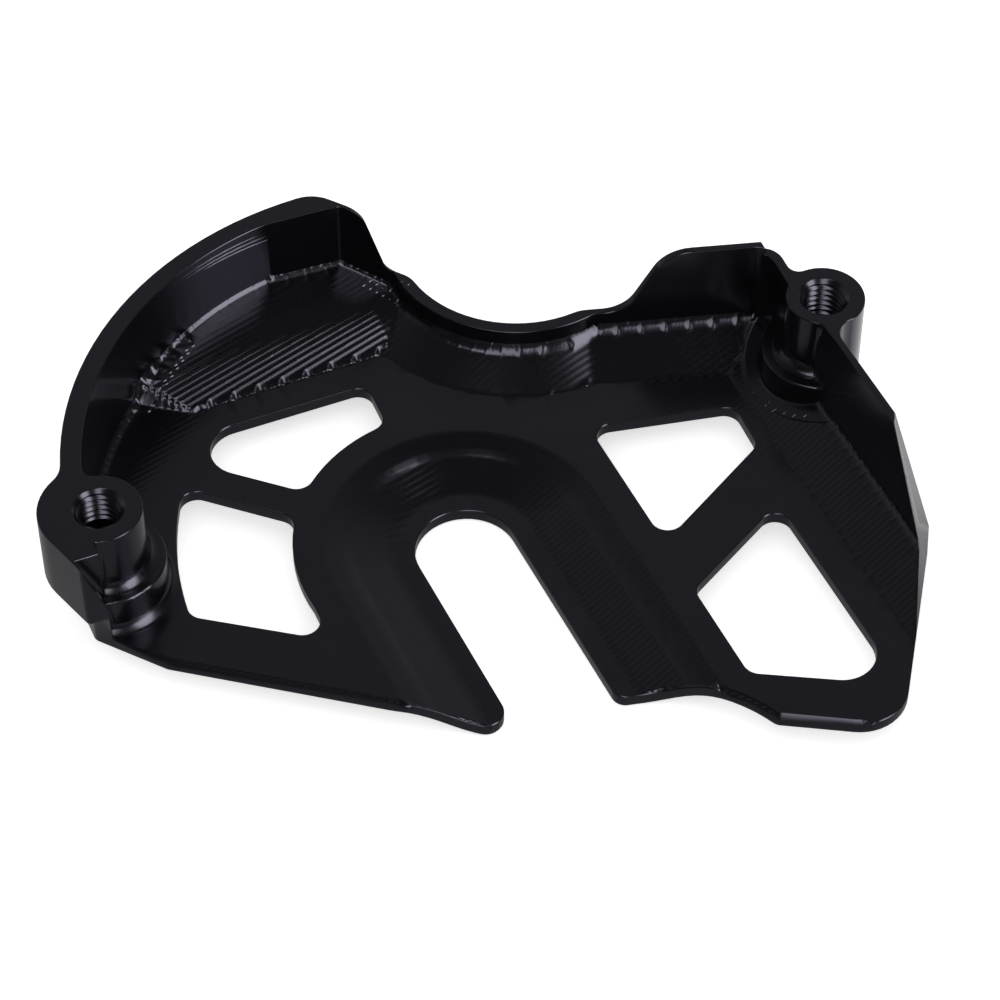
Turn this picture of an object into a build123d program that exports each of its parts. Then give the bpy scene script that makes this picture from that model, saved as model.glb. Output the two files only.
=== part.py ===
from build123d import *
from math import atan, cos, hypot, radians, sin, sqrt
import os

os.makedirs("parts", exist_ok=True)

# Motorcycle sprocket cover, milled from one aluminium block.
# The origin is the centre of the left threaded hole on the mounting plane.
# +Z points out of the bosses to the engine, +X from the left hole to the right one.

# Heights, down from the mounting plane
depth = 25.0
plate = 2.3
dish_depth = 3.4
ledge_rise = 3.0
middle_rise = 7.3
boss_step_rise = 7.0
corner_top = 1.5
ear_thick = 13.8

dish_out = -depth
dish_in = dish_out + plate
floor_out = dish_out + dish_depth
floor_in = floor_out + plate
ledge = floor_in + ledge_rise
middle_top = floor_in + middle_rise
boss_step = floor_in + boss_step_rise

# Threaded holes
hole_pitch = 131.3
thread_bore = 3.4
left_thread_depth = 7.0
right_thread_depth = 12.0
mouth_chamfer = 1.1

# Left boss with its ear, right boss
ear_radius = 10.2
left_boss = 7.3
right_boss = 7.2
boss_step_radius = 10.3
ear_inner = -2.9
notch_left = -6.9
notch_back = 9.4
notch_fall = 0.35

# Round stretches of the plan
rim_left, rim_y = -5.4, -5.2
rim_radius = 62.2
rim_x = rim_left + rim_radius
rim_width = 3.6
rim_inner = rim_radius - rim_width
bay_x, bay_y = 91.5, 44.2
bay_radius = 21.0
bay_width = 2.4
bay_slope_radius = 32.2
sprocket_x, sprocket_y = 59.75, -12.6
slot_radius = 8.8
slot_turn = 3.7
dish_inner = 12.0
dish_outer = 25.0
hub_ring = 29.6
corner_turn = 15.2
corner_foot_x, corner_foot_y = 98.0, 19.8
corner_slope_width = 8.7
corner_lean = 1.5
base_radius = 1.5
foot_round = 2.0
rim_round = 1.6
window_round = 2.9

# Right wall: distances outwards from the foot line of its inner face
wall_turn = 2.8
wall_foot_x, wall_foot_y = 126.0, -11.2
band_width = 8.4
wall_lean = 2.7
wall_land = 1.3
wall_flare = 2.3
underside_rise = 0.25

# Slope and shelf under the rim: foot line, rise of the slope and of the shelf
shelf_turn = 1.5
shelf_foot_x, shelf_foot_y = 43.0, 32.1
slope_run, slope_rise = 10.0, 3.45
shelf_run, shelf_rise = 11.0, 2.1
shelf_end_x, shelf_end_y = 25.5, 31.7
groove_turn = 15.3
groove_pitch = 1.09
groove_radius = 3.0
groove_depth = 0.05


def soften(x, y, radius):
    """Rounds the corner of the open sketch that lies nearest to the point."""
    near = vertices().sort_by(lambda v: (v.X - x) ** 2 + (v.Y - y) ** 2)[0]
    fillet(near, radius)


def along(turn, x, y):
    """A plane that stands across a line of the plan, its local x pointing outwards."""
    return Plane(origin=(x, y, 0), x_dir=(cos(radians(turn)), sin(radians(turn)), 0),
                 z_dir=(sin(radians(turn)), -cos(radians(turn)), 0))


def on_rim(radius, turn):
    """A point of a circle about the rim's centre, the turn counted from +X."""
    return (rim_x + radius * cos(radians(turn)), rim_y + radius * sin(radians(turn)))


def by_corner(run, out):
    """A point given along the foot line of the corner wall and outwards from it."""
    turn = radians(corner_turn)
    return (corner_foot_x + run * cos(turn) + out * sin(turn),
            corner_foot_y - run * sin(turn) + out * cos(turn))


slot_dir = (sin(radians(slot_turn)), -cos(radians(slot_turn)))
slot_side = (cos(radians(slot_turn)), sin(radians(slot_turn)))


def by_slot(down, side):
    """A point given along and across the axis of the slot."""
    return (sprocket_x + down * slot_dir[0] + side * slot_side[0],
            sprocket_y + down * slot_dir[1] + side * slot_side[1])


def dish_section(low):
    """Half of the dish across its axis, from its flat bottom up to the floor."""
    top = low + dish_depth
    middle = (dish_inner + dish_outer) / 2
    with BuildSketch() as half:
        with BuildLine():
            Line((0, low), (dish_inner, low))
            Spline((dish_inner, low), (middle, low + dish_depth / 2), (dish_outer, top),
                   tangents=((1, 0), (1, 0)))
            Polyline((dish_outer, top), (dish_outer, top + plate), (0, top + plate), (0, low))
        make_face()
    return half.sketch


# Corner of the front edge, where it turns along the chain
front_turn = (3.9, -19.5)

# Block with the outer plan of the cover
with BuildPart() as plan_block:
    with BuildSketch(Plane.XY.offset(dish_out)):
        ear_corner = (-2.8, -11.9)
        rim_start, rim_end = on_rim(rim_radius, 166.3), on_rim(rim_radius, 89)
        tip = by_slot(39.0, -slot_radius)
        leg = by_slot(40.0, slot_radius)
        with BuildLine():
            Polyline(ear_corner, front_turn, (35.5, -41.4), tip, by_slot(0, -slot_radius))
            ThreePointArc(by_slot(0, -slot_radius), by_slot(-slot_radius, 0),
                          by_slot(0, slot_radius))
            Line(by_slot(0, slot_radius), leg)
            ThreePointArc(leg, (84.9, -57.5), (92.7, -67.3))
            Polyline((92.7, -67.3), (110.9, -77.1), (134.3, -39.7), (133.0, -9),
                     (hole_pitch, 0), (128.7, 0), (128.7, 14.4), (95.3, 23.5))
            ThreePointArc((95.3, 23.5), (76.65, 29.35), (70.6, 42.2))
            Line((70.6, 42.2), rim_end)
            ThreePointArc(rim_end, on_rim(rim_radius, 130), rim_start)
            ThreePointArc(rim_start, (-ear_radius, 0), (-9.6, -3.45))
            Polyline((-9.6, -3.45), (-8.0, -8.0), (-6.6, -11.9), ear_corner)
        make_face()
        with Locations((hole_pitch, 0)):
            Circle(right_boss)
        soften(front_turn[0], front_turn[1], 2.0)
        soften(tip[0], tip[1], 3.3)
        soften(35.5, -41.4, 20.0)
        soften(leg[0], leg[1], 2.5)
        soften(92.7, -67.3, 2.0)
        soften(110.9, -77.1, 8.5)
        soften(134.3, -39.7, 7.0)
        soften(128.7, 6.7, 2.0)
        soften(128.7, 14.4, 4.0)
        soften(95.3, 23.5, 6.0)
        soften(70.6, 42.2, 5.0)
        soften(rim_end[0], rim_end[1], 6.5)
        soften(rim_start[0], rim_start[1], 5.0)
        soften(-8.0, -8.0, 6.0)
        soften(-6.6, -11.9, 1.0)
    extrude(amount=corner_top - dish_out)

# Room the cover fills: all above the floor's outer face, and the dish below it
with BuildPart() as room:
    with BuildSketch(Plane.XY.offset(floor_out)):
        Rectangle(400, 400)
    extrude(amount=depth + corner_top)
    with BuildSketch(Plane(origin=(sprocket_x, sprocket_y, 0), x_dir=(1, 0, 0),
                           z_dir=(0, -1, 0))):
        add(dish_section(dish_out))
    revolve(axis=Axis((sprocket_x, sprocket_y, 0), (0, 0, 1)))
    for side in (0, 180):
        with BuildSketch(Plane(origin=(sprocket_x, sprocket_y, 0),
                               x_dir=Vector(slot_side[0], slot_side[1], 0).rotate(Axis.Z, side),
                               z_dir=Vector(slot_dir[0], slot_dir[1], 0).rotate(Axis.Z, side))):
            add(dish_section(dish_out))
        extrude(amount=60 if side == 0 else -60)

    # Below the ear the rim's own circle is the outline
    with BuildSketch(Plane.XY.offset(dish_out)):
        with Locations((0, 0)):
            Rectangle(4 * ear_radius, 4 * ear_radius)
        with Locations((rim_x, rim_y)):
            Circle(rim_radius, mode=Mode.SUBTRACT)
        with BuildLine():
            Polyline(front_turn, (-11, -2.6), (-20, -20), front_turn)
        make_face()
        soften(-5.2, -9.2, 1.8)
    extrude(amount=depth - ear_thick, mode=Mode.SUBTRACT)
    # Underside of the right wall, rising with the band above it
    with BuildSketch(along(wall_turn, wall_foot_x, wall_foot_y).offset(-30)):
        with BuildLine():
            Polyline((-5, floor_out), (15, floor_out + 20 * underside_rise), (15, dish_out),
                     (-5, dish_out), (-5, floor_out))
        make_face()
    extrude(amount=100, mode=Mode.SUBTRACT)

# Slope and shelf under the rim, ploughed by a ball-nosed cutter
with BuildPart() as shelf:
    with BuildSketch(along(90 + shelf_turn, shelf_foot_x, shelf_foot_y).offset(-34)):
        with BuildLine():
            Polyline((0, floor_in), (slope_run, floor_in + slope_rise),
                     (slope_run + shelf_run, floor_in + slope_rise + shelf_rise),
                     (slope_run + shelf_run, floor_out), (0, floor_out), (0, floor_in))
        make_face()
    extrude(amount=62)
    # Left end, cut off on the slant
    with BuildSketch(Plane(origin=(shelf_end_x, shelf_end_y, floor_in), x_dir=(0.825, -0.566, 0),
                           z_dir=(-0.566 * 0.77, -0.825 * 0.77, 0.64))):
        Rectangle(60, 60)
    extrude(amount=30, mode=Mode.SUBTRACT)
    # Grooves: a comb of round noses drawn along the lines of the cut
    contour = Vector(cos(radians(shelf_turn)), sin(radians(shelf_turn)), 0)
    uphill = Vector(-slope_run * contour.Y, slope_run * contour.X, slope_rise).normalized()
    face_up = contour.cross(uphill)
    across = radians(groove_turn - shelf_turn)
    course = (contour * cos(across) + uphill * sin(across)).normalized()
    with BuildSketch(Plane(origin=(shelf_foot_x, shelf_foot_y, floor_in),
                           x_dir=face_up.cross(course), z_dir=course)):
        with Locations((0, groove_radius - groove_depth)):
            with GridLocations(groove_pitch, 1, 25, 1):
                Circle(groove_radius)
    extrude(amount=60, both=True, mode=Mode.SUBTRACT)

# Sloped ground between the floor and the walls, and the steps of the bosses
with BuildPart() as slopes:
    # Slope along the corner wall
    start_x, start_y = by_corner(-6, 0)
    with BuildSketch(along(90 - corner_turn, start_x, start_y)):
        with BuildLine():
            Polyline((-corner_slope_width, floor_in), (corner_lean, ledge + 0.5),
                     (corner_lean, middle_top), (corner_lean + 1, middle_top),
                     (corner_lean + 1, floor_out), (-corner_slope_width, floor_out),
                     (-corner_slope_width, floor_in))
        make_face()
        soften(corner_lean, ledge + 0.5, base_radius)
    extrude(amount=36)
    # Slope around the bay
    with BuildSketch(Plane(origin=(bay_x, bay_y, 0), x_dir=(1, 0, 0), z_dir=(0, -1, 0))):
        with BuildLine():
            bay_inner = bay_radius + bay_width
            Polyline((bay_slope_radius, floor_in), (bay_inner, ledge + 0.3),
                     (bay_inner, middle_top), (bay_inner - 1, middle_top),
                     (bay_inner - 1, floor_out), (bay_slope_radius, floor_out),
                     (bay_slope_radius, floor_in))
        make_face()
        soften(bay_inner, ledge + 0.3, base_radius)
    revolve(axis=Axis((bay_x, bay_y, 0), (0, 0, 1)))
    # Hollow in the slopes around the foot of the right boss
    with BuildSketch(Plane(origin=(hole_pitch, 0, 0), x_dir=(1, 0, 0), z_dir=(0, -1, 0))):
        with BuildLine():
            foot = boss_step_radius + foot_round
            Polyline((0, floor_in), (foot, floor_in), (foot + 6, floor_in + 8),
                     (0, floor_in + 8), (0, floor_in))
        make_face()
    revolve(axis=Axis((hole_pitch, 0, 0), (0, 0, 1)), mode=Mode.SUBTRACT)
    # Round foot of the rim's inner face
    with BuildSketch(Plane(origin=(rim_x, rim_y, 0), z_dir=(sin(radians(98)), -cos(radians(98)), 0),
                           x_dir=(cos(radians(98)), sin(radians(98)), 0))):
        with BuildLine():
            Polyline((rim_inner - rim_round, floor_in), (rim_inner, floor_in),
                     (rim_inner, floor_in + rim_round), (rim_inner + 1, floor_in + rim_round),
                     (rim_inner + 1, floor_out), (rim_inner - rim_round, floor_out),
                     (rim_inner - rim_round, floor_in))
        make_face()
        soften(rim_inner, floor_in, rim_round - 0.01)
    revolve(axis=Axis((rim_x, rim_y, 0), (0, 0, 1)), revolution_arc=78)
    # Stepped foot of each boss
    for x, radius in ((0, left_boss), (hole_pitch, right_boss - 0.6)):
        with BuildSketch(Plane(origin=(x, 0, 0), x_dir=(1, 0, 0), z_dir=(0, -1, 0))):
            with BuildLine():
                Polyline((0, floor_out), (boss_step_radius + foot_round + 0.1, floor_out),
                         (boss_step_radius + foot_round + 0.1, floor_in),
                         (boss_step_radius, floor_in),
                         (boss_step_radius, boss_step), (radius, boss_step),
                         (radius, boss_step + 4), (0, boss_step + 4), (0, floor_out))
            make_face()
            soften(boss_step_radius, floor_in, foot_round)
            soften(radius, boss_step, foot_round)
            soften(boss_step_radius, boss_step, 0.4)
        revolve(axis=Axis((x, 0, 0), (0, 0, 1)))
    # Right wall: band rising from the floor, then the leaning inner face
    with BuildSketch(along(wall_turn, wall_foot_x, wall_foot_y).offset(-26)):
        with BuildLine():
            Polyline((-band_width, floor_in), (1.3, ledge + 0.5), (wall_lean, 0),
                     (wall_lean + 1, 0), (wall_lean + 1, floor_out), (-band_width, floor_out),
                     (-band_width, floor_in))
        make_face()
        soften(1.3, ledge + 0.5, base_radius)
    extrude(amount=88)
    add(shelf.part)
    add(plan_block.part, mode=Mode.INTERSECT)
    add(room.part, mode=Mode.INTERSECT)

with BuildPart() as sprocket_cover:
    add(plan_block.part)
    add(room.part, mode=Mode.INTERSECT)

    # Pocket down to the floor, open on the side of the chain
    with BuildSketch(Plane.XY.offset(floor_in)):
        rim_corner = on_rim(rim_inner - 1.06, 86.06)
        with BuildLine():
            Polyline((-30, -11.95), (ear_inner, -11.95), (ear_inner, 0), on_rim(rim_inner, 175))
            ThreePointArc(on_rim(rim_inner, 175), on_rim(rim_inner, 135),
                          on_rim(rim_inner, 99.2))
            Polyline(on_rim(rim_inner, 99.2), rim_corner, (75.5, 36.4),
                     by_corner(-6, corner_lean), by_corner(29.54, corner_lean), (126.9, 0),
                     (128.3, -6), (128.7, -11.2), (131.0, -58.0), (150, -100), (-30, -100),
                     (-30, -11.95))
        make_face()
        with Locations((0, 0)):
            Circle(left_boss, mode=Mode.SUBTRACT)
        with Locations((hole_pitch, 0)):
            Circle(right_boss - 0.6, mode=Mode.SUBTRACT)
        with Locations((bay_x, bay_y)):
            Circle(bay_inner, mode=Mode.SUBTRACT)
        soften(-0.44, 7.29, 2.0)
        soften(rim_corner[0], rim_corner[1], 1.5)
        soften(126.9, 13.5, 3.5)
    extrude(amount=2 * depth, mode=Mode.SUBTRACT)
    add(slopes.part)

    # Hollow of the dish
    with BuildSketch(Plane(origin=(sprocket_x, sprocket_y, 0), x_dir=(1, 0, 0),
                           z_dir=(0, -1, 0))):
        add(dish_section(dish_in))
    revolve(axis=Axis((sprocket_x, sprocket_y, 0), (0, 0, 1)), mode=Mode.SUBTRACT)
    for side in (0, 180):
        with BuildSketch(Plane(origin=(sprocket_x, sprocket_y, 0),
                               x_dir=Vector(slot_side[0], slot_side[1], 0).rotate(Axis.Z, side),
                               z_dir=Vector(slot_dir[0], slot_dir[1], 0).rotate(Axis.Z, side))):
            add(dish_section(dish_in))
        extrude(amount=60 if side == 0 else -60, mode=Mode.SUBTRACT)

    # Windows through the floor
    with BuildSketch(Plane.XY.offset(dish_out)):
        with BuildLine():
            Polyline((15.4, 26.2), (56.2, 26.7), (56.2, 8.0), (40.0, 5.2), (15.4, 26.2))
        make_face()
        with BuildLine():
            Polyline((18.4, 15.9), (34.5, 2.1), (30.5, -13.0), (30.6, -25.2), (10.6, -11.8))
            ThreePointArc((10.6, -11.8), (12.7, 1.6), (18.4, 15.9))
        make_face()
        with Locations((sprocket_x, sprocket_y)):
            Circle(hub_ring, mode=Mode.SUBTRACT)
        with BuildLine():
            Polyline((88.9, 2.95), (114.5, -1.9), (114.5, -11.7), (90.7, -26.1), (88.9, 2.95))
        make_face()
        with BuildLine():
            Polyline((91.1, -37.6), (112.3, -25.2), (114.8, -68.8), (92.3, -57.2), (91.1, -37.6))
        make_face()
        soften(15.4, 26.2, 5.9)
        soften(114.8, -68.8, 6.0)
        for x, y in ((56.2, 26.7), (56.2, 16.8), (37.0, 7.5), (18.4, 15.9), (34.2, 2.4),
                     (30.6, -25.2), (10.6, -11.8), (88.9, 2.95), (114.5, -1.9), (114.5, -11.7),
                     (90.7, -26.1), (91.1, -37.6), (112.3, -25.2), (92.3, -57.2)):
            soften(x, y, window_round)
    extrude(amount=depth - 12, mode=Mode.SUBTRACT)

    # Flared outer face of the right wall
    with BuildSketch(along(wall_turn, wall_foot_x, wall_foot_y).offset(-0.9)):
        with BuildLine():
            wall_out = wall_lean + wall_land
            Polyline((wall_out, 0), (wall_out + wall_flare, floor_in), (wall_out + 9, floor_in),
                     (wall_out + 9, 5), (wall_out, 5), (wall_out, 0))
        make_face()
    extrude(amount=45, mode=Mode.SUBTRACT)
    # Round notch between the right boss and its wall
    with BuildSketch(Plane.XY.offset(dish_out)):
        with Locations((133.55, -10.3)):
            Circle(3.6)
    extrude(amount=2 * depth, mode=Mode.SUBTRACT)
    # Sloped end facet of the right wall
    with BuildSketch(Plane(origin=(107.7, -66.5, 0), x_dir=(0.5256, 0.8508, 0),
                           z_dir=(0.8508, -0.5256, 0.44))):
        Rectangle(300, 100)
    extrude(amount=60, mode=Mode.SUBTRACT)

    # Mounting plane: everything but the corner wall is faced down to it
    with BuildSketch(Plane.XZ.offset(-100)):
        with BuildLine():
            Polyline((-30, 0), (64.0, 0), (67.2, middle_top), (103.0, middle_top),
                     (109.85, corner_top), (126.2, corner_top), (126.2, 0), (150, 0),
                     (150, 10), (-30, 10), (-30, 0))
        make_face()
        soften(64.0, 0, 2.5)
        soften(67.2, middle_top, 2.0)
        soften(103.0, middle_top, 6.0)
        soften(109.85, corner_top, 7.0)
    extrude(amount=200, mode=Mode.SUBTRACT)

    with BuildSketch(Plane.XY):
        with Locations((0, 13.2)):
            Rectangle(400, 200, align=(Align.CENTER, Align.MAX))
    extrude(amount=corner_top, mode=Mode.SUBTRACT)

    # Notch in the front of the ear, its left side falling to the floor
    with BuildSketch(Plane.XZ.offset(notch_back)):
        with BuildLine():
            Polyline((notch_left, 0), (ear_inner, (notch_left - ear_inner) / notch_fall),
                     (ear_inner, 5), (notch_left, 5), (notch_left, 0))
        make_face()
    extrude(amount=2 * ear_radius, mode=Mode.SUBTRACT)

    # Tapped holes
    for x, deep in ((0, left_thread_depth), (hole_pitch, right_thread_depth)):
        with Locations((x, 0, 0)):
            CounterSinkHole(thread_bore, thread_bore + mouth_chamfer, depth=deep,
                            counter_sink_angle=90)

sprocket_cover.part.label = "sprocket_cover"
export_step(sprocket_cover.part, "parts/sprocket_cover.step")
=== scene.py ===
import math
import bmesh
import bpy
import numpy as np
from mathutils import Matrix, Vector
from mathutils.bvhtree import BVHTree
from mathutils.geometry import delaunay_2d_cdt
from mathutils.kdtree import KDTree


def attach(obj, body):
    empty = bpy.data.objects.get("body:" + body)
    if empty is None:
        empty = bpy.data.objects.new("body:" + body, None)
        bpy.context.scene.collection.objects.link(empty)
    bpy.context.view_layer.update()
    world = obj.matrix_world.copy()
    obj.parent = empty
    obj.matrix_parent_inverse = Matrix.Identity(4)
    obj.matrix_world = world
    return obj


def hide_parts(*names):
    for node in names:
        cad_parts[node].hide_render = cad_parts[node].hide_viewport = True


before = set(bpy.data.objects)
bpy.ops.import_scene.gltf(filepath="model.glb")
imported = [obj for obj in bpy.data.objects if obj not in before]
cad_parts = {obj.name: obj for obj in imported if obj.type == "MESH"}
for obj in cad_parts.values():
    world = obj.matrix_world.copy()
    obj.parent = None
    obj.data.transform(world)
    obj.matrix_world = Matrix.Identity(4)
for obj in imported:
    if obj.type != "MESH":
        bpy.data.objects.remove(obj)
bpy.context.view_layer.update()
MM = 0.001

# The cover's sizes in millimetres and degrees, in the frame's own axes and as part.py has them
FLOOR = -19.3                             # top of the plate
DISH = -22.7                              # bottom of the dish round the hub
LEFT_HOLE, RIGHT_HOLE = 0.0, 131.3        # x of the tapped holes, both at y 0
HOLES = ((LEFT_HOLE, 7.0), (RIGHT_HOLE, 12.0))   # with their depths
RIM_X, RIM_Y, RIM_R = 56.8, -5.2, 58.6    # inner face of the rim
BAY_X, BAY_Y = 91.5, 44.2
BAY_WALL, BAY_TOE = 23.4, 32.2            # radii of the bay's wall and its slope's toe
HUB_FLAT, HUB_EDGE = 12.0, 25.0           # half widths of the dish at its bottom and its top
BOSS_FOOT = 10.3                          # radius of a boss at the ground

# Lines that the walls and slopes follow: a point on each, and its turn
HUB_LINE = (59.75, -12.6, -86.3)
CORNER_LINE = (98.0, 19.8, -15.2)
SHELF_LINE = (43.0, 32.1, 1.5)
BAND_LINE = (126.0, -11.2, 2.8)
END_LINE = (60.68, 52.2, -46.9)

# Slopes: rise per millimetre, and how far the toe lies from the line
CORNER_RISE, CORNER_TOE, CORNER_START = 3.5 / 10.2, 8.7, -6
BAND_RISE, BAND_TOE = 3.5 / 9.7, 8.4
BAY_RISE = 3.3 / 8.8
BOSS_RISE, BOSS_TOE = 1.333, 12.3
SHELF_RISE, SHELF_BEND, SHELF_KNEE, SHELF_TOP_RISE = 0.50, 0.0155, 10, 0.191
SHELF_LEFT, SHELF_LEFT_RISE = (25.5, 31.7), (0.436 / 0.64, 0.635 / 0.64)
SHELF_LENGTH = 28

# The ball-nosed cutter: its passes run at a turn, a pitch apart
PASS_TURN, PASS_PITCH, BALL = math.radians(15.3), 1.09, 2.5
ALONG = Vector((math.cos(PASS_TURN), math.sin(PASS_TURN), 0.0))
CELL, ROW = 0.2, PASS_PITCH / 6           # cell of the grid on which its path is worked out
GRID_LEFT, GRID_RIGHT = -32, 148
FIRST_ROW, LAST_ROW = -606, 330
FAR = 99                                  # a height or distance beyond everything

# The plate's front edge, from the left boss to the right tip; one stretch is the slot's mouth
FRONT = ((4.5, -20.2), (48.7, -51.6), (69.4, -52.5), (74.0, -54.4), (80.3, -56.4), (86.0, -59.8),
         (89.7, -63.5), (92.4, -67.2), (96.0, -69.1), (104.8, -73.3))
SLOT_MOUTH = 1
EDGE_BREAK, FRONT_BREAK = 0.2, 0.95
SHARP = math.radians(38)
DOWN = Vector((0, 0, -1))


# Helpers

def linear(code):
    """A linear colour from an sRGB hex string."""
    rgb = [int(code[i:i + 2], 16) / 255 for i in (0, 2, 4)]
    return tuple(c / 12.92 if c <= 0.04045 else ((c + 0.055) / 1.055) ** 2.4 for c in rgb) + (1,)


def node(tree, kind, links=(), **settings):
    """Adds one node; names that match an input socket set its value, others a property."""
    n = tree.nodes.new(kind)
    for name, value in settings.items():
        if name in n.inputs:
            n.inputs[name].default_value = value
        else:
            setattr(n, name, value)
    for source, target in links:
        tree.links.new(source, n.inputs[target])
    return n


def maths(tree, kind, a, b=0.0, c=0.0):
    """One math node; a, b and c are sockets or numbers."""
    n = tree.nodes.new("ShaderNodeMath")
    n.operation = kind
    for i, v in enumerate((a, b, c)):
        if hasattr(v, "is_output"):
            tree.links.new(v, n.inputs[i])
        else:
            n.inputs[i].default_value = v
    return n.outputs[0]


def mapped(tree, value, limits, levels=(0.0, 1.0), smooth=True):
    """A value's range between two limits spread over two levels."""
    n = node(tree, "ShaderNodeMapRange", ((value, 0),),
             interpolation_type="SMOOTHSTEP" if smooth else "LINEAR")
    for i, v in enumerate((*limits, *levels), 1):
        n.inputs[i].default_value = v
    return n.outputs[0]


def turned(x, y, x0, y0, turn):
    """Coordinates along and across a line through a point."""
    c, s = math.cos(math.radians(turn)), math.sin(math.radians(turn))
    return (x - x0) * c + (y - y0) * s, -(x - x0) * s + (y - y0) * c


# Shape of the milled ground: floor, dish, slopes and round feet

def smooth_max(a, b, k):
    """The higher of two surfaces, with the round foot a ball-nosed cutter leaves between them."""
    h = np.maximum(k - np.abs(a - b), 0) / k
    return np.maximum(a, b) + h * h * k / 4


def eased(t, soft=0.15):
    """A straight climb from 0 to 1 with softly rounded ends."""
    steep = 1 / (1 - soft)
    ends = np.where(t < soft, steep * t * t / (2 * soft), 1 - steep * (1 - t) ** 2 / (2 * soft))
    return np.where((t < soft) | (t > 1 - soft), ends, steep * (t - soft / 2))


def shelf_slope(x, y):
    """Height of the slope under the rim: steep at its toe, flatter above the knee."""
    along, uphill = turned(x, y, *SHELF_LINE)
    knee = SHELF_KNEE * (SHELF_RISE - SHELF_BEND * SHELF_KNEE)
    slope = FLOOR + np.where(uphill < SHELF_KNEE, uphill * (SHELF_RISE - SHELF_BEND * uphill),
                             knee + SHELF_TOP_RISE * (uphill - SHELF_KNEE))
    left = (FLOOR + SHELF_LEFT_RISE[0] * (x - SHELF_LEFT[0])
            + SHELF_LEFT_RISE[1] * (y - SHELF_LEFT[1]))
    return np.where(along < SHELF_LENGTH, np.minimum(slope, left), FLOOR - 1)


def design(x, y):
    """Height of the ground before the cutter's marks, the slopes alone, and how far up the dish's
    side a place is, from 0 at its bottom to 1 on the plate."""
    down, side = turned(x, y, *HUB_LINE)
    from_hub = np.where(down > 0, np.abs(side), np.hypot(down, side))
    t = np.clip((from_hub - HUB_FLAT) / (HUB_EDGE - HUB_FLAT), 0, 1)
    dish = DISH + (FLOOR - DISH) * eased(t)
    run, out = turned(x, y, *CORNER_LINE)
    corner = np.where(run > CORNER_START, FLOOR + CORNER_RISE * (out + CORNER_TOE), FLOOR - 1)
    band = FLOOR + BAND_RISE * (turned(x, y, *BAND_LINE)[0] + BAND_TOE)
    boss = FLOOR + BOSS_RISE * (np.hypot(x - RIGHT_HOLE, y) - BOSS_TOE)
    bay = FLOOR + BAY_RISE * (BAY_TOE - np.hypot(x - BAY_X, y - BAY_Y))
    slopes = np.minimum(smooth_max(corner, band, 0.2), boss)
    slopes = np.maximum(smooth_max(slopes, bay, 0.1), shelf_slope(x, y))
    return np.where(t < 1, dish, smooth_max(FLOOR, slopes, 0.17)), slopes, t


def from_rim(x, y):
    return RIM_R - np.hypot(x - RIM_X, y - RIM_Y)


def under_rim(x, y):
    """True over the shelf."""
    return (x < 63) & (y > 20)


def combed(x, y):
    """How much of the cutter's marks shows on the level floor: beside the rim and right boss."""
    rim_side = np.clip((15 - from_rim(x, y)) / 5, 0, 1) * np.clip((y - 10) / 5, 0, 1) * (x < 27)
    boss_side = np.clip((35 - np.hypot(x - RIGHT_HOLE, y)) / 6, 0, 1) * (x < 126) * (y > -14)
    return np.maximum(rim_side, boss_side)


def feet(x, y):
    """For each wall with a round foot: the distance to it, the ground's rise toward it and the
    foot's radius."""
    corner_run, corner_out = turned(x, y, *CORNER_LINE)
    band_right, band_ahead = turned(x, y, *BAND_LINE)
    rim, end_wall = from_rim(x, y), -turned(x, y, *END_LINE)[1]
    straight = 52.6 - 0.03 * (x - 47.4) - y
    bay = np.hypot(x - BAY_X, y - BAY_Y) - BAY_WALL
    walls = (
        (rim, (x < 22) & (y > 5), 0.0, 1.6),
        (rim, (x > 22) & (x < 48) & (y > 5), 0.0, 0.8),
        (straight, (x > 47) & (x < 62) & (y > 45), 0.0, 0.9),
        (end_wall, (x > 58) & (x < 70) & (y > 40), 0.0, 0.8),
        (1.5 - corner_out, corner_run > 0, CORNER_RISE, 2.4),
        (bay, (y < 46) & (x > 67), BAY_RISE, 2.4),
        (1.35 - band_right, band_ahead < 22, BAND_RISE, 1.5),
        (np.hypot(x - LEFT_HOLE, y) - BOSS_FOOT, x < FAR, 0.0, 2.0),
        (np.hypot(x - RIGHT_HOLE, y) - BOSS_FOOT, x > 0, 0.0, 2.0),
    )
    return [(np.where(place, gap, FAR), rise, radius) for gap, place, rise, radius in walls]


# The cutter's marks, from a small simulation of its zig-zag

def ball_cells():
    """Grid offsets under the ball and the height of its surface below its centre."""
    cells = []
    for i in range(-15, 16):
        for j in range(-15, 16):
            d = math.hypot(i * CELL, j * ROW)
            if d < BALL:
                cells.append((i, j, math.sqrt(BALL ** 2 - d * d)))
    return cells


def ball_over(ground, cells, pad=16):
    """Lowest height of the ball's centre at which it doesn't cut into the ground."""
    g = np.pad(ground, pad, mode="edge")
    rows, columns = ground.shape
    centre = np.full(ground.shape, -FAR, np.float32)
    for i, j, rise in cells:
        np.maximum(centre, g[pad + j:pad + j + rows, pad + i:pad + i + columns] + rise, centre)
    return centre


def swept(centre, reach, cells, pad=16):
    """Surface that the ball leaves when its centre visits the marked cells."""
    h = np.pad(np.where(reach, centre, FAR).astype(np.float32), pad, constant_values=FAR)
    rows, columns = centre.shape
    out = np.full(centre.shape, FAR, np.float32)
    for i, j, rise in cells:
        np.minimum(out, h[pad + j:pad + j + rows, pad + i:pad + i + columns] - rise, out)
    return out


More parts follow.
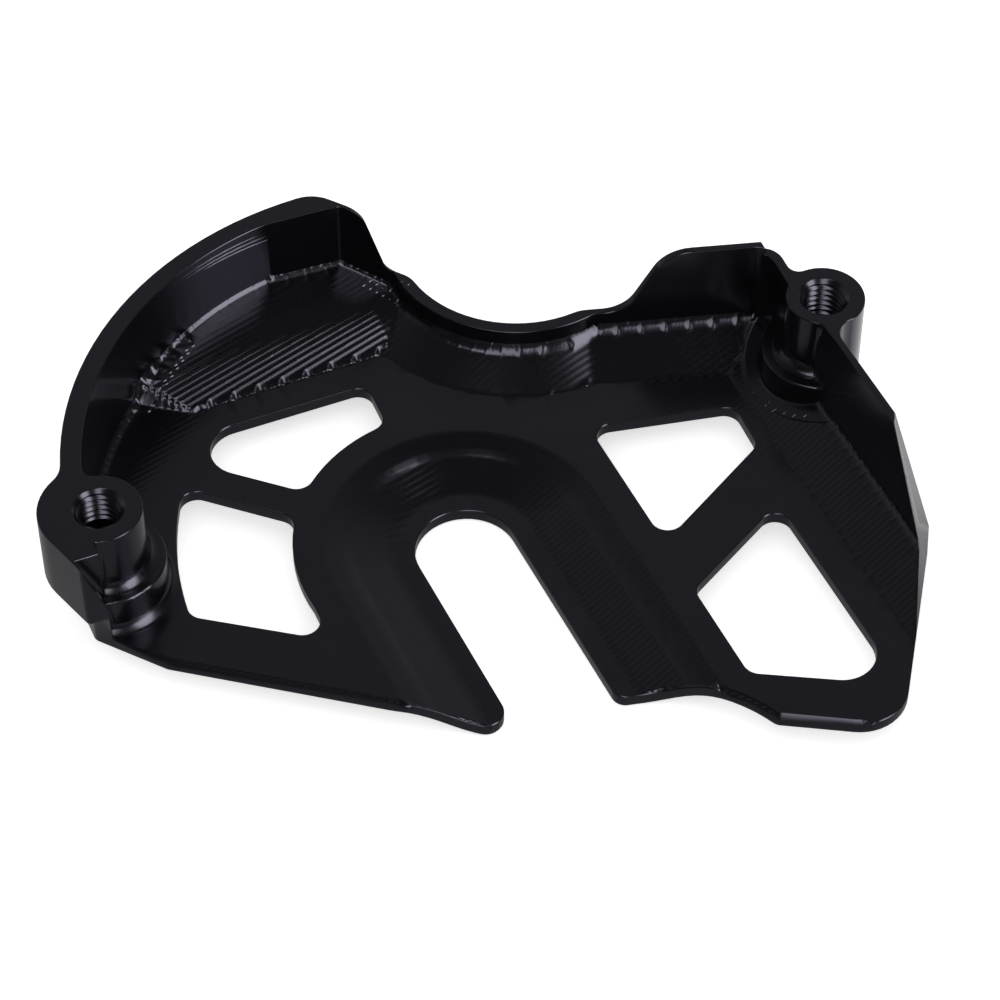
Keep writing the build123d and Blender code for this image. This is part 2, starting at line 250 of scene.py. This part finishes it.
def cutter_marks():
    """What the zig-zag leaves standing: cusps between the passes and at the walls."""
    rows = np.arange(FIRST_ROW, LAST_ROW)
    u, v = np.meshgrid(np.arange(GRID_LEFT, GRID_RIGHT, CELL), rows * ROW)
    x, y = u * ALONG.x - v * ALONG.y, u * ALONG.y + v * ALONG.x
    z, slopes, t = design(x, y)
    wall = np.minimum.reduce([np.where(gap > -3, gap, FAR) for gap, _, _ in feet(x, y)]) < 0
    work = ((slopes > FLOOR) | (t < 1) | (combed(x, y) > 0)) & ~wall
    ground = np.where(wall, FLOOR + 9, z).astype(np.float32)
    cells = ball_cells()
    centre = ball_over(ground, cells)
    reach = work & (centre < ground + 1.2 * BALL)
    # Passes are joined at alternate ends, except on the shelf
    ends = np.where((rows // 6 % 2 == 0)[:, None], reach & ~np.roll(reach, -1, 1),
                    reach & ~np.roll(reach, 1, 1))
    path = reach & ((rows % 6 == 0)[:, None] | ~under_rim(x, y) & ends)
    left = np.clip(swept(centre, path, cells) - swept(centre, reach, cells), 0, 0.4)
    return np.where(work | wall, left, 0)


MARKS = cutter_marks()


def marks_at(x, y):
    """The marks' height between the grid's cells."""
    i = (x * ALONG.x + y * ALONG.y - GRID_LEFT) / CELL
    j = (y * ALONG.x - x * ALONG.y) / ROW - FIRST_ROW
    i = np.clip(i, 0, MARKS.shape[1] - 2)
    j = np.clip(j, 0, MARKS.shape[0] - 2)
    i0, j0 = i.astype(int), j.astype(int)
    fi, fj = i - i0, j - j0
    low = MARKS[j0, i0] * (1 - fi) + MARKS[j0, i0 + 1] * fi
    high = MARKS[j0 + 1, i0] * (1 - fi) + MARKS[j0 + 1, i0 + 1] * fi
    return low * (1 - fj) + high * fj


def with_feet(x, y, z):
    """The ground with its round feet, the distance to the closest wall, and the same as a share
    of that wall's foot radius."""
    share, closest = np.full(x.shape, float(FAR)), np.full(x.shape, float(FAR))
    for gap, rise, radius in feet(x, y):
        g = np.maximum(gap, 0.02)
        steep = math.sqrt(1 + rise * rise)
        arc = z + rise * g - rise * radius + radius * steep
        arc = arc - np.sqrt(np.maximum(radius ** 2 - (radius - g) ** 2, 0))
        at_wall = gap > -0.6
        z = np.where((g < radius - radius * rise / steep) & at_wall, np.maximum(arc, z), z)
        share = np.minimum(share, np.where(at_wall, np.abs(gap) / radius, FAR))
        closest = np.minimum(closest, np.where(at_wall, np.abs(gap), FAR))
    return z, closest, share


def marks_share(x, y, slopes, t):
    """How deep the marks between passes are cut: deepest at the shelf's toe."""
    uphill = turned(x, y, *SHELF_LINE)[1]
    ploughed = 2.0 - 1.5 * np.clip((uphill - 7) / 3.5, 0, 1)
    bay = (x > 66) & (x < 110) & (y < 36) & (y > 8)
    other = np.where(slopes > FLOOR, np.where(bay, 0.3, 0.55),
                     np.maximum(0.5 * combed(x, y), (t < 1) * 0.5))
    return np.where(under_rim(x, y) & (slopes > FLOOR), ploughed, other)


def marked(x, y):
    """Height of the ground with the cutter's marks, where it needs points and where fine ones."""
    z, slopes, t = design(x, y)
    z, closest, share_of_foot = with_feet(x, y, z)
    # A cusp between two passes is under 0.06 mm; what stands higher is left at a wall
    between = 0.06
    rest, share = marks_at(x, y), marks_share(x, y, slopes, t)
    rest = np.where(rest < between, rest * share,
                    np.maximum(rest - between, 0) * 0.6 + between * share)
    calm = (x > 30) & (x < 66) & (y > 30) & (closest < 3.2)
    rest = np.where(calm, np.minimum(rest, 0.02), rest)
    z = z + rest * np.clip(closest / 0.4, 0.1, 1)
    z = np.where(t < 1, np.minimum(z, FLOOR), z)
    dished = (t < 1) & (z < FLOOR - 0.002) & (t > 0)
    busy = (slopes > FLOOR - 0.05) | (combed(x, y) > 0.02) | dished
    return z, busy | (share_of_foot < 1.15), (rest > 0.07) | (closest < 1.8)


# The cover's own mesh, cleaned, with its edges broken as a deburred part has them

def near_hole(p, reach):
    return any(math.hypot(p.x - hx, p.y) < reach and p.z > -deep - 0.1 for hx, deep in HOLES)


def front_stretch(i):
    """Start, direction and length of one stretch of the front edge."""
    a, b = Vector(FRONT[i]), Vector(FRONT[i + 1])
    return a, (b - a).normalized(), (b - a).length


def on_front(p):
    """True on the plate's top edge along the front, where the broken edge is wide."""
    if abs(p.z - FLOOR) > 0.05:
        return False
    for i in range(len(FRONT) - 1):
        if i != SLOT_MOUTH:
            a, run, length = front_stretch(i)
            s = min(max((p.xy - a).dot(run), 0), length)
            if (a + run * s - p.xy).length < 1.6:
                return True
    return False


def broken_edges(bm, edges, width, segments):
    made = bmesh.ops.bevel(bm, geom=edges, offset=width, segments=segments, profile=0.5,
                           affect="EDGES", clamp_overlap=False, offset_type="OFFSET",
                           loop_slide=True)
    return made["faces"]


def cleaned(cad):
    """The CAD solid's mesh in millimetres with its holes opened and edges broken, the faces of
    those edges, and the solid as it was."""
    bm = bmesh.new()
    bm.from_mesh(cad.data)
    bm.faces.layers.int.new("ground")
    bmesh.ops.transform(bm, matrix=Matrix.Scale(1 / MM, 4) @ cad.matrix_world, verts=bm.verts)
    bmesh.ops.remove_doubles(bm, verts=bm.verts, dist=0.0015)
    bored = [f for f in bm.faces if near_hole(f.calc_center_median(), 4.62)
             and f.calc_center_median().z < -0.002]
    bmesh.ops.delete(bm, geom=bored, context="FACES")
    bmesh.ops.delete(bm, geom=[v for v in bm.verts if not v.link_faces], context="VERTS")
    bmesh.ops.dissolve_limit(bm, angle_limit=math.radians(0.3), verts=bm.verts, edges=bm.edges)
    solid = BVHTree.FromBMesh(bm)
    sharp = [e for e in bm.edges if len(e.link_faces) == 2 and e.calc_length() > 0.02
             and e.calc_face_angle_signed(0) > SHARP and not near_hole(e.verts[0].co, 4.7)]
    front = [e for e in sharp if on_front(e.verts[0].co) and on_front(e.verts[1].co)]
    broken = broken_edges(bm, front, FRONT_BREAK, 1)
    sharp = [e for e in sharp if e.is_valid and e not in front]
    broken += broken_edges(bm, sharp, EDGE_BREAK, 2)
    return bm, {f for f in broken if f.is_valid}, solid


# The inner ground, made anew from fine points

def ground_faces(bm, broken):
    bm.normal_update()
    return [f for f in bm.faces if f not in broken and f.normal.z > 0.25
            and -23.2 < f.calc_center_median().z < -13.4]


def border_edges(bm, faces):
    """Edges between a group of faces and the rest of the mesh."""
    group = set(faces)
    return [e for e in bm.edges if sum(f in group for f in e.link_faces) == 1]


def cut_up(bm, edges, step):
    """Cuts edges into pieces of at most about one step."""
    by_cuts = {}
    for e in edges:
        by_cuts.setdefault(int(min(e.calc_length() / step, 300)), []).append(e)
    for cuts, group in by_cuts.items():
        if cuts:
            bmesh.ops.subdivide_edges(bm, edges=group, cuts=cuts)


def surface_of(faces):
    """A ray-casting tree of some faces as they are now."""
    index, corners, facets = {}, [], []
    for f in faces:
        for v in f.verts:
            if v not in index:
                index[v] = len(corners)
                corners.append(v.co.copy())
        facets.append([index[v] for v in f.verts])
    return BVHTree.FromPolygons(corners, facets)


def ground_points(surface, border):
    """Points along the passes over the old ground, close together where it isn't flat."""
    kd = KDTree(len(border))
    for i, v in enumerate(border):
        kd.insert((v.co.x, v.co.y, 0), i)
    kd.balance()
    us, vs = np.arange(-60, 170, 0.275), np.arange(-660, 460) * ROW
    u, v = np.meshgrid(us, vs)
    second = (np.arange(len(us))[None, :] + np.arange(len(vs))[:, None]) % 2 == 1
    x, y = u * ALONG.x - v * ALONG.y, u * ALONG.y + v * ALONG.x
    keep = (x > -6) & (x < 134) & (y > -75) & (y < 54)
    x, y, second = x[keep], y[keep], second[keep]
    z, busy, fine = marked(x, y)
    coarse = (np.abs(x % 5.0 - 2.5) < 0.28) & (np.abs(y % 5.0 - 2.5) < 0.1)
    pick = busy & (fine | ~second) | coarse
    points = []
    for px, py, pz in zip(x[pick].tolist(), y[pick].tolist(), z[pick].tolist()):
        hit = surface.ray_cast(Vector((px, py, 10)), DOWN)[0]
        if hit is not None and kd.find((px, py, 0))[2] >= 0.13:
            points.append(Vector((px, py, min(max(pz, hit.z - 0.12), hit.z + 2.4))))
    return points


def lift_feet(border):
    """Moves the foot line up the walls whose foot the solid has sharp and the part round."""
    heights, _, _ = marked(np.array([v.co.x for v in border]), np.array([v.co.y for v in border]))
    for v, height in zip(border, heights.tolist()):
        if 0.5 < height - v.co.z < 2.4:
            v.co.z += 0.9 * (height - v.co.z)


def fine_ground(bm, broken, solid):
    """Swaps the inner ground's facets for a fine surface with the cutter's passes in it."""
    cut_up(bm, border_edges(bm, ground_faces(bm, broken)), 0.45)
    old = ground_faces(bm, broken)
    edges = border_edges(bm, old)
    border = list(dict.fromkeys(v for e in edges for v in e.verts))
    slot = {v: i for i, v in enumerate(border)}
    loops = [(slot[e.verts[0]], slot[e.verts[1]]) for e in edges]
    old = bmesh.ops.triangulate(bm, faces=old)["faces"]
    surface = surface_of(old)
    points = [v.co.copy() for v in border] + ground_points(surface, border)
    lift_feet(border)
    flat, _, faces, origin, _, _ = delaunay_2d_cdt([p.xy for p in points], loops, [], 0, 1e-6, True)
    bmesh.ops.delete(bm, geom=old, context="FACES")
    made = []
    for p, source in zip(flat, origin):
        if source and source[0] < len(border):
            v = border[source[0]]
        else:
            v = bm.verts.new((p.x, p.y, points[source[0]].z if source else FLOOR))
        # Where two broken edges overshoot a corner, their crossing goes back onto the solid
        spot, _, _, off = solid.find_nearest(v.co)
        if off > 1.0:
            v.co = spot
        made.append(v)
    flag = bm.faces.layers.int["ground"]
    for face in faces:
        a, b, d = (flat[i] for i in face)
        middle = (a + b + d) / 3
        if surface.ray_cast(Vector((middle.x, middle.y, 10)), DOWN)[0] is None:
            continue
        up = (b.x - a.x) * (d.y - a.y) - (b.y - a.y) * (d.x - a.x) > 0
        try:
            bm.faces.new([made[i] for i in (face if up else face[::-1])])[flag] = 1
        except ValueError:
            pass    # the crossing at an overshoot can give a face twice


# Threads

THREAD_PITCH, THREAD_CORE, THREAD_DEPTH, MOUTH = 1.25, 3.32, 0.62, 4.5


def mouth_ring(bm, hx):
    """The open ring of points left where a hole's bored faces were taken out."""
    return [v for v in bm.verts if abs(v.co.z) < 0.01
            and 4.3 < math.hypot(v.co.x - hx, v.co.y) < 4.7
            and any(len(e.link_faces) == 1 for e in v.link_edges)]


def thread_radius(z, angle):
    """M8 profile with flat crests and roots, opened to a chamfered mouth."""
    wave = abs(((z / THREAD_PITCH - angle / (2 * math.pi)) % 1.0) * 2 - 1)
    r = THREAD_CORE + THREAD_DEPTH * min(max((wave - 0.14) / 0.72, 0), 1)
    return max(r, MOUTH + z * 1.05)


def threaded(bm, hx, deep):
    """A tube with an M8 thread and a round mouth, from the hole's ring down to its flat bottom."""
    ring = set(mouth_ring(bm, hx))
    cut_up(bm, [e for e in bm.edges if len(e.link_faces) == 1 and set(e.verts) <= ring], 0.3)
    ring = sorted(mouth_ring(bm, hx), key=lambda v: math.atan2(v.co.y, v.co.x - hx))
    turns = [math.atan2(v.co.y, v.co.x - hx) for v in ring]
    for v, a in zip(ring, turns):
        v.co.x, v.co.y = hx + MOUTH * math.cos(a), MOUTH * math.sin(a)
    rows = int(deep / 0.11)
    last, made = ring, []
    for j in range(1, rows + 1):
        z = -deep * j / rows
        row = []
        for a in turns:
            r = thread_radius(z, a)
            row.append(bm.verts.new((hx + r * math.cos(a), r * math.sin(a), z)))
        for i in range(len(ring)):
            k = (i + 1) % len(ring)
            made.append(bm.faces.new((last[i], last[k], row[k], row[i])))
        last = row
    bottom = bm.verts.new((hx, 0, -deep))
    for i in range(len(ring)):
        made.append(bm.faces.new((last[i], last[(i + 1) % len(ring)], bottom)))
    bm.normal_update()
    inside = Vector((hx, 0, -deep * 0.2))
    inward = [f for f in made if f.normal.dot(inside - f.calc_center_median()) < 0]
    bmesh.ops.reverse_faces(bm, faces=inward)


# Cusps that stand apart from the passes

def ridge(bm, path, normals, width, height):
    """A thin raised cusp along a path, three-sided, running out to a point at both ends."""
    rows = []
    for i, (p, n) in enumerate(zip(path, normals)):
        run = (path[min(i + 1, len(path) - 1)] - path[max(i - 1, 0)]).normalized()
        side = run.cross(n).normalized()
        full = math.sin(math.pi * (i + 0.15) / (len(path) - 0.7)) ** 0.6
        rows.append([bm.verts.new(p + side * width / 2 * full - n * 0.03),
                     bm.verts.new(p + n * height * full),
                     bm.verts.new(p - side * width / 2 * full - n * 0.03)])
    for a, b in zip(rows, rows[1:]):
        for i in range(3):
            k = (i + 1) % 3
            bm.faces.new((a[i], b[i], b[k], a[k]))
    bm.faces.new(rows[0])
    bm.faces.new(rows[-1][::-1])


def laid(surface, middle, run, half, width, height):
    """A ridge of five points dropped on the ground, or none where one meets a wall or misses."""
    path, normals = [], []
    for share in (-1, -0.5, 0, 0.5, 1):
        p = middle + run * (half * share)
        spot, n, _, _ = surface.ray_cast(p + Vector((0, 0, 3)), DOWN)
        if spot is None or n.z < 0.3 or spot.z < FLOOR - 1.2:
            return []
        path.append(spot)
        normals.append(n)
    return [(path, normals, width, height)]


def front_dashes(surface):
    """Slanting dashes 1.42 mm apart on the wide broken edge along the front."""
    rows = []
    for i, first in ((0, 1.6), (2, 0.6), (3, 0.3), (4, 0.5), (5, 0.4), (6, 0.6)):
        a, run, length = front_stretch(i)
        inward = Vector((-run.y, run.x))
        s = first
        while s < length - 0.2:
            on = []
            for step in range(-20, 31):
                q = a + run * s + inward * (step * 0.1)
                spot, n, _, _ = surface.ray_cast(Vector((q.x, q.y, 0)), DOWN)
                if spot is not None and 0.55 < n.z < 0.85 and abs(spot.z - FLOOR) < 1.1:
                    on.append((spot, n))
            if len(on) > 4:
                spot, n = on[len(on) // 2]
                up = (Vector((0, 0, 1)) - n * n.z).normalized()
                way = (run.to_3d() * 0.9 + up * 0.42).normalized()
                path = [spot + up * 0.12 + way * d for d in (-0.62, -0.3, 0, 0.3, 0.62)]
                rows.append((path, [n] * 5, 0.46, 0.075))
            s += 1.42
    return rows


def boss_ticks(surface):
    """Short ticks along the passes round the bosses' feet."""
    rows = []
    for hx, radius, angles in ((LEFT_HOLE, 9.6, range(-100, -50, 8)),
                               (RIGHT_HOLE, 12.4, range(182, 270, 9))):
        for angle in map(math.radians, angles):
            middle = Vector((hx + radius * math.cos(angle), radius * math.sin(angle), FLOOR))
            rows += laid(surface, middle, ALONG, 0.8, 0.5, 0.09)
    return rows


def shelf_end_ticks(surface):
    """A double row of ticks down both ends of the shelf."""
    rows = []
    for first, last, count, turn in (((28.4, 43.2), (18.6, 35.0), 8, 18),
                                     ((64.4, 46.8), (69.6, 40.6), 7, 200)):
        run = Vector((math.cos(math.radians(turn)), math.sin(math.radians(turn)), 0))
        for j in range(count):
            middle = Vector(first).lerp(Vector(last), j / (count - 1)).to_3d()
            middle.z = -13.0
            for shift in (0.0, 1.5):
                rows += laid(surface, middle + run * shift, run, 0.6, 0.5, 0.12)
    return rows


def rim_streaks():
    """Three long lines on the rim's inner face; angles and heights of their two ends."""
    rows = []
    for a0, a1, z0, z1 in ((120, 101, -1.5, -1.9), (118, 99.5, -2.3, -2.9), (113, 99, -3.1, -3.9)):
        path, normals = [], []
        for j in range(25):
            a = math.radians(a0 + (a1 - a0) * j / 24)
            out = Vector((math.cos(a), math.sin(a), 0))
            path.append(Vector((RIM_X, RIM_Y, z0 + (z1 - z0) * j / 24)) + out * (RIM_R - 0.01))
            normals.append(-out)
        rows.append((path, normals, 0.5, 0.09))
    return rows


def cusps(bm):
    """Every cusp that stands apart."""
    bm.normal_update()
    surface = BVHTree.FromBMesh(bm)
    start = len(bm.faces)
    for row in (front_dashes(surface) + boss_ticks(surface) + shelf_end_ticks(surface)
                + rim_streaks()):
        ridge(bm, *row)
    bm.faces.ensure_lookup_table()
    bmesh.ops.recalc_face_normals(bm, faces=bm.faces[start:])


# The finished piece

def read(items, name, kind, width=1):
    """One property of all items of a mesh as an array."""
    values = np.zeros(len(items) * width, kind)
    items.foreach_get(name, values)
    return values


def sharpen_borders(me):
    """Sharp edges by angle, and all round the ground, so its normals stop at its borders."""
    me.shade_smooth()
    me.set_sharp_from_angle(angle=SHARP)
    edge_of = read(me.loops, "edge_index", int)
    ground = np.repeat(read(me.attributes["ground"].data, "value", int),
                       read(me.polygons, "loop_total", int))
    count = np.bincount(edge_of, minlength=len(me.edges))
    grounds = np.bincount(edge_of, weights=ground, minlength=len(me.edges))
    sharp = read(me.attributes["sharp_edge"].data, "value", bool)
    sharp |= (grounds > 0) & (grounds < count)
    me.attributes["sharp_edge"].data.foreach_set("value", sharp)


def true_flats(me):
    """Level faces keep a true normal right up to their broken edges."""
    corner = read(me.corner_normals, "vector", float, 3).reshape(-1, 3)
    normal = read(me.polygons, "normal", float, 3).reshape(-1, 3)
    level = np.repeat(normal[:, 2] > 0.9998, read(me.polygons, "loop_total", int))
    corner[level] = (0, 0, 1)
    me.normals_split_custom_set(corner.tolist())


def finished(bm, name):
    """A plain mesh object in metres, smooth with its large faces kept flat."""
    bmesh.ops.triangulate(bm, faces=[f for f in bm.faces if len(f.verts) > 3])
    bmesh.ops.transform(bm, matrix=Matrix.Scale(MM, 4), verts=bm.verts)
    me = bpy.data.meshes.new(name)
    bm.to_mesh(me)
    bm.free()
    sharpen_borders(me)
    o = bpy.data.objects.new(name, me)
    bpy.context.scene.collection.objects.link(o)
    mod = o.modifiers.new("weights", "WEIGHTED_NORMAL")
    mod.keep_sharp = True
    mod.weight = 50
    graph = bpy.context.evaluated_depsgraph_get()
    plain = bpy.data.meshes.new_from_object(o.evaluated_get(graph))
    o.modifiers.clear()
    o.data = plain
    plain.name = name
    true_flats(plain)
    return o


# Black anodised milled aluminium

def anodised():
    """Black dye over finely etched metal: satin sheen, faint cloudiness, a hint of violet."""
    m = bpy.data.materials.new("black_anodised_aluminium")
    m.use_nodes = True
    t = m.node_tree
    t.nodes.clear()
    out = node(t, "ShaderNodeOutputMaterial")
    b = node(t, "ShaderNodeBsdfPrincipled", Metallic=0.93)
    at = node(t, "ShaderNodeTexCoord").outputs["Object"]
    # Dye cloudiness over about 9 mm: the black drifts slightly toward violet
    cloud = node(t, "ShaderNodeTexNoise", ((at, 0),), Scale=0.11 / MM, Detail=3.0, Roughness=0.55)
    tint = node(t, "ShaderNodeMix", ((cloud.outputs[0], 0),), data_type="RGBA")
    tint.inputs[6].default_value = linear("3A3A3F")
    tint.inputs[7].default_value = linear("3F3D46")
    t.links.new(tint.outputs[2], b.inputs["Base Color"])
    # Etched grain of about 0.12 mm: breaks the gloss into a satin
    grain = node(t, "ShaderNodeTexNoise", ((at, 0),), Scale=8.0 / MM, Detail=2.0, Roughness=0.6)
    sheen = mapped(t, grain.outputs[0], (0.3, 0.7), (0.165, 0.235), smooth=False)
    t.links.new(sheen, b.inputs["Roughness"])
    # Tool lines finer than the passes, about 0.14 mm apart along the walls and faces
    stretch = node(t, "ShaderNodeMapping", ((at, 0),))
    stretch.inputs["Rotation"].default_value = (0, 0, -PASS_TURN)
    stretch.inputs["Scale"].default_value = (0.12 / MM, 7.0 / MM, 0.5 / MM)
    lines = node(t, "ShaderNodeTexNoise", ((stretch.outputs[0], 0),), Scale=1.0, Detail=1.0,
                 Roughness=0.5)
    height = maths(t, "MULTIPLY_ADD", grain.outputs[0], 0.5, lines.outputs[0])
    bump = node(t, "ShaderNodeBump", ((height, "Height"),), Strength=0.35, Distance=0.0025 * MM)
    t.links.new(bump.outputs[0], b.inputs["Normal"])
    t.links.new(b.outputs[0], out.inputs[0])
    return m


bm, broken, solid = cleaned(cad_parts["sprocket_cover"])
fine_ground(bm, broken, solid)
for hole_x, hole_depth in HOLES:
    threaded(bm, hole_x, hole_depth)
cusps(bm)
cover = finished(bm, "cover_milled")
cover.data.materials.clear()
cover.data.materials.append(anodised())
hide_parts("sprocket_cover")
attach(cover, "root")


# Camera, floor and light

def photo_camera():
    """A long lens from the photo's side, high over the left boss."""
    data = bpy.data.cameras.new("camera")
    data.sensor_width = 36
    data.lens = 126
    data.clip_end = 10
    camera = bpy.data.objects.new("camera", data)
    bpy.context.scene.collection.objects.link(camera)
    forward = Vector((0.2432, 0.6109, -0.7535)).normalized()
    side = Vector((0.9291, -0.3699, 0)).normalized()
    up = side.cross(forward)
    camera.matrix_world = Matrix.Translation(Vector((-78.05, -374.2, 433.6)) * MM) @ Matrix(
        (side, up, -forward)).transposed().to_4x4()
    bpy.context.scene.camera = camera


def studio_paper():
    """Pale paper, white to the eye. In the metal's gloss it is a painted dim emission, which stands
    in for the shade on the paper under and in front of the cover, with a painted brighter
    reflection to its right."""
    m = bpy.data.materials.new("pale_studio_paper")
    m.use_nodes = True
    t = m.node_tree
    t.nodes.clear()
    out = node(t, "ShaderNodeOutputMaterial")
    path = node(t, "ShaderNodeLightPath")
    matt = node(t, "ShaderNodeBsdfDiffuse", Color=(0.9, 0.9, 0.9, 1))
    lift = maths(t, "MULTIPLY", path.outputs["Is Camera Ray"], 0.62)
    glow = node(t, "ShaderNodeEmission", ((lift, 1),))
    seen = node(t, "ShaderNodeAddShader", ((matt.outputs[0], 0), (glow.outputs[0], 1)))
    where = node(t, "ShaderNodeTexCoord")
    place = node(t, "ShaderNodeSeparateXYZ", ((where.outputs["Object"], 0),))
    # Painted shade and reflection: the level the metal's gloss sees on the paper, 0.30 under and in
    # front of the cover, 1.1 to its right
    painted_reflection_level = mapped(t, place.outputs[0], (0.068, 0.090), (0.30, 1.1))
    dim = node(t, "ShaderNodeEmission", ((painted_reflection_level, 1),))
    mix = node(t, "ShaderNodeMixShader", ((path.outputs["Is Glossy Ray"], 0),
                                          (seen.outputs[0], 1), (dim.outputs[0], 2)))
    t.links.new(mix.outputs[0], out.inputs[0])
    return m


def studio_floor():
    """The sheet of paper just under the cover."""
    half = 1.5
    me = bpy.data.meshes.new("studio_floor")
    me.from_pydata([(-half, -half, 0), (half, -half, 0), (half, half, 0), (-half, half, 0)], [],
                   [(0, 1, 2, 3)])
    me.materials.append(studio_paper())
    floor = bpy.data.objects.new("studio_floor", me)
    floor.location = (0.06, 0, -0.0252)
    bpy.context.scene.collection.objects.link(floor)
    return floor


def studio_air():
    """White for the paper and the background. In the metal's gloss it is a dim ceiling over a
    brighter horizon, with a soft lamp low on the right and one on the left."""
    world = bpy.data.worlds.new("studio_air")
    bpy.context.scene.world = world
    world.use_nodes = True
    t = world.node_tree
    t.nodes.clear()
    out = node(t, "ShaderNodeOutputWorld")
    back = node(t, "ShaderNodeBackground")
    where = node(t, "ShaderNodeTexCoord")
    x, y, z = node(t, "ShaderNodeSeparateXYZ", ((where.outputs["Generated"], 0),)).outputs[:3]
    glossy = node(t, "ShaderNodeLightPath").outputs["Is Glossy Ray"]

    def between(value, rise, fall):
        """1 between two soft limits, 0 outside; fall can be of another value."""
        fall_value, *limits = fall
        return maths(t, "SUBTRACT", mapped(t, value, rise), mapped(t, fall_value, limits))

    # Brightness by height from the horizon to straight up
    ramp = node(t, "ShaderNodeValToRGB", ((z, 0),))
    stops = ((0.0, 0.8), (0.25, 0.5), (0.55, 0.36), (0.7535, 0.30), (0.88, 0.12), (1.0, 0.05))
    scale = 4.0
    elements = ramp.color_ramp.elements
    while len(elements) < len(stops):
        elements.new(0.5)
    for e, (height, level) in zip(elements, stops):
        e.position = height
        e.color = (level / scale,) * 3 + (1,)
    ahead = maths(t, "MULTIPLY_ADD", mapped(t, y, (-0.1, 0.5)), 0.8, 0.2)
    sky = maths(t, "MULTIPLY", maths(t, "MULTIPLY", ramp.outputs[0], scale), ahead)
    slant = maths(t, "MULTIPLY_ADD", y, 0.6, x)
    right = maths(t, "MAXIMUM", between(x, (0.27, 0.33), (slant, 0.32, 0.42)), 0.0)
    left = between(x, (-0.46, -0.38), (x, -0.15, -0.05))
    in_front = maths(t, "MAXIMUM", between(y, (-0.95, -0.80), (y, -0.09, 0.01)), 0.0)
    lamps = maths(t, "MULTIPLY_ADD", right, 7.5, maths(t, "MULTIPLY", left, 4.5))
    sky = maths(t, "ADD", sky, maths(t, "MULTIPLY", lamps, in_front))
    level = maths(t, "ADD", maths(t, "MULTIPLY", sky, glossy), maths(t, "SUBTRACT", 1.0, glossy))
    t.links.new(level, back.inputs[1])
    t.links.new(back.outputs[0], out.inputs[0])


photo_camera()
bpy.context.scene.view_settings.view_transform = "Standard"
studio_floor()
studio_air()
